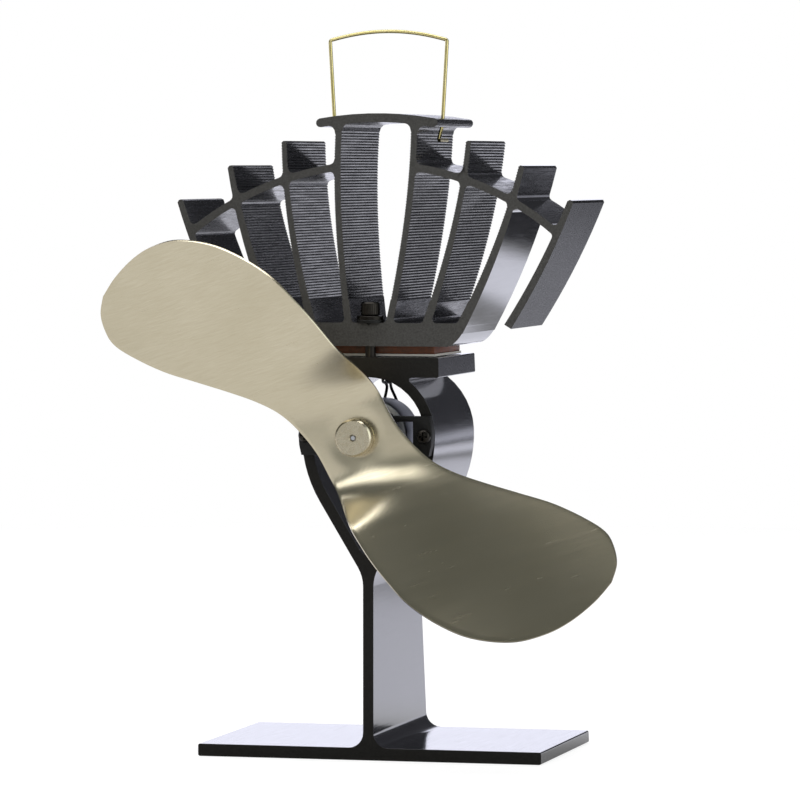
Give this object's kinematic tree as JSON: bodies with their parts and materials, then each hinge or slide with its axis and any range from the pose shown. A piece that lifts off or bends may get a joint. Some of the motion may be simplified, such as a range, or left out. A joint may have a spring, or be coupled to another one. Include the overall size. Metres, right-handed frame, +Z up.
{
  "type": "stove fan",
  "caption": "Heat-powered stove fan: extruded stand, finned heat sink on a thermoelectric module, small motor in a ring, two-lobed blade and wire handle.",
  "frame": {"origin": "centre of the base's underside, which stands on the stove", "axes": "+Z up, +X to the right seen from the front, and the fan faces -Y"},
  "size_m": [0.2114, 0.1354, 0.2931],
  "materials": {
    "black_anodised": "black anodised, satin",
    "champagne": "champagne anodised, brushed",
    "turned_knob": "turned, nickel plated",
    "brass_wire": "bright drawn wire",
    "plated_steel": "zinc plated",
    "black_steel": "black oxide",
    "black_plastic": "moulded, fine texture",
    "white_ceramic": "fired, matt",
    "orange_silicone": "cast silicone",
    "graphite": "graphite, matt",
    "copper": "bright copper",
    "bronze": "sintered bronze",
    "ferrite": "pressed ferrite",
    "dark_cable": "smooth insulation"
  },
  "bodies": {
    "stand": {"stand": "black_anodised", "heat_sink": "black_anodised", "hot_foil": "graphite", "cold_foil": "graphite", "pellet_block": "graphite", "hot_plate": "white_ceramic", "cold_plate": "white_ceramic", "module_seal": "orange_silicone", "clamp_bolt_front": "black_steel", "clamp_bolt_rear": "black_steel", "bolt_bush_front": "black_plastic", "bolt_bush_rear": "black_plastic", "spring_washer_front_lower": "black_steel", "spring_washer_front_upper": "black_steel", "spring_washer_rear_lower": "black_steel", "spring_washer_rear_upper": "black_steel", "motor_bracket": "black_plastic", "motor_can": "plated_steel", "motor_end_cap": "black_plastic", "front_bush": "bronze", "rear_bush": "bronze", "bracket_screw_left": "black_steel", "bracket_screw_right": "black_steel", "motor_screw_left": "plated_steel", "motor_screw_right": "plated_steel", "magnet_left": "ferrite", "magnet_right": "ferrite", "brush_left": "graphite", "brush_right": "graphite", "brush_arm_left": "copper", "brush_arm_right": "copper", "terminal_left": "copper", "terminal_right": "copper", "lead_left": "dark_cable", "lead_right": "dark_cable"},
    "rotor": {"shaft": "plated_steel", "armature_core": "plated_steel", "winding_1": "copper", "winding_2": "copper", "winding_3": "copper", "commutator": "copper", "blade": "champagne", "blade_collar": "plated_steel", "hub_knob": "turned_knob"},
    "handle": {"handle": "brass_wire"}
  },
  "joints": [
    {"name": "rotor_spin", "type": "hinge", "parent": "stand", "child": "rotor", "pos_m": [0, -0.045, 0.1305], "axis": [0, -1, 0], "continuous": true},
    {"name": "handle_slide", "type": "slide", "parent": "stand", "child": "handle", "axis": [0, 0, 1], "range_m": [-0.008, 0.0036]}
  ]
}
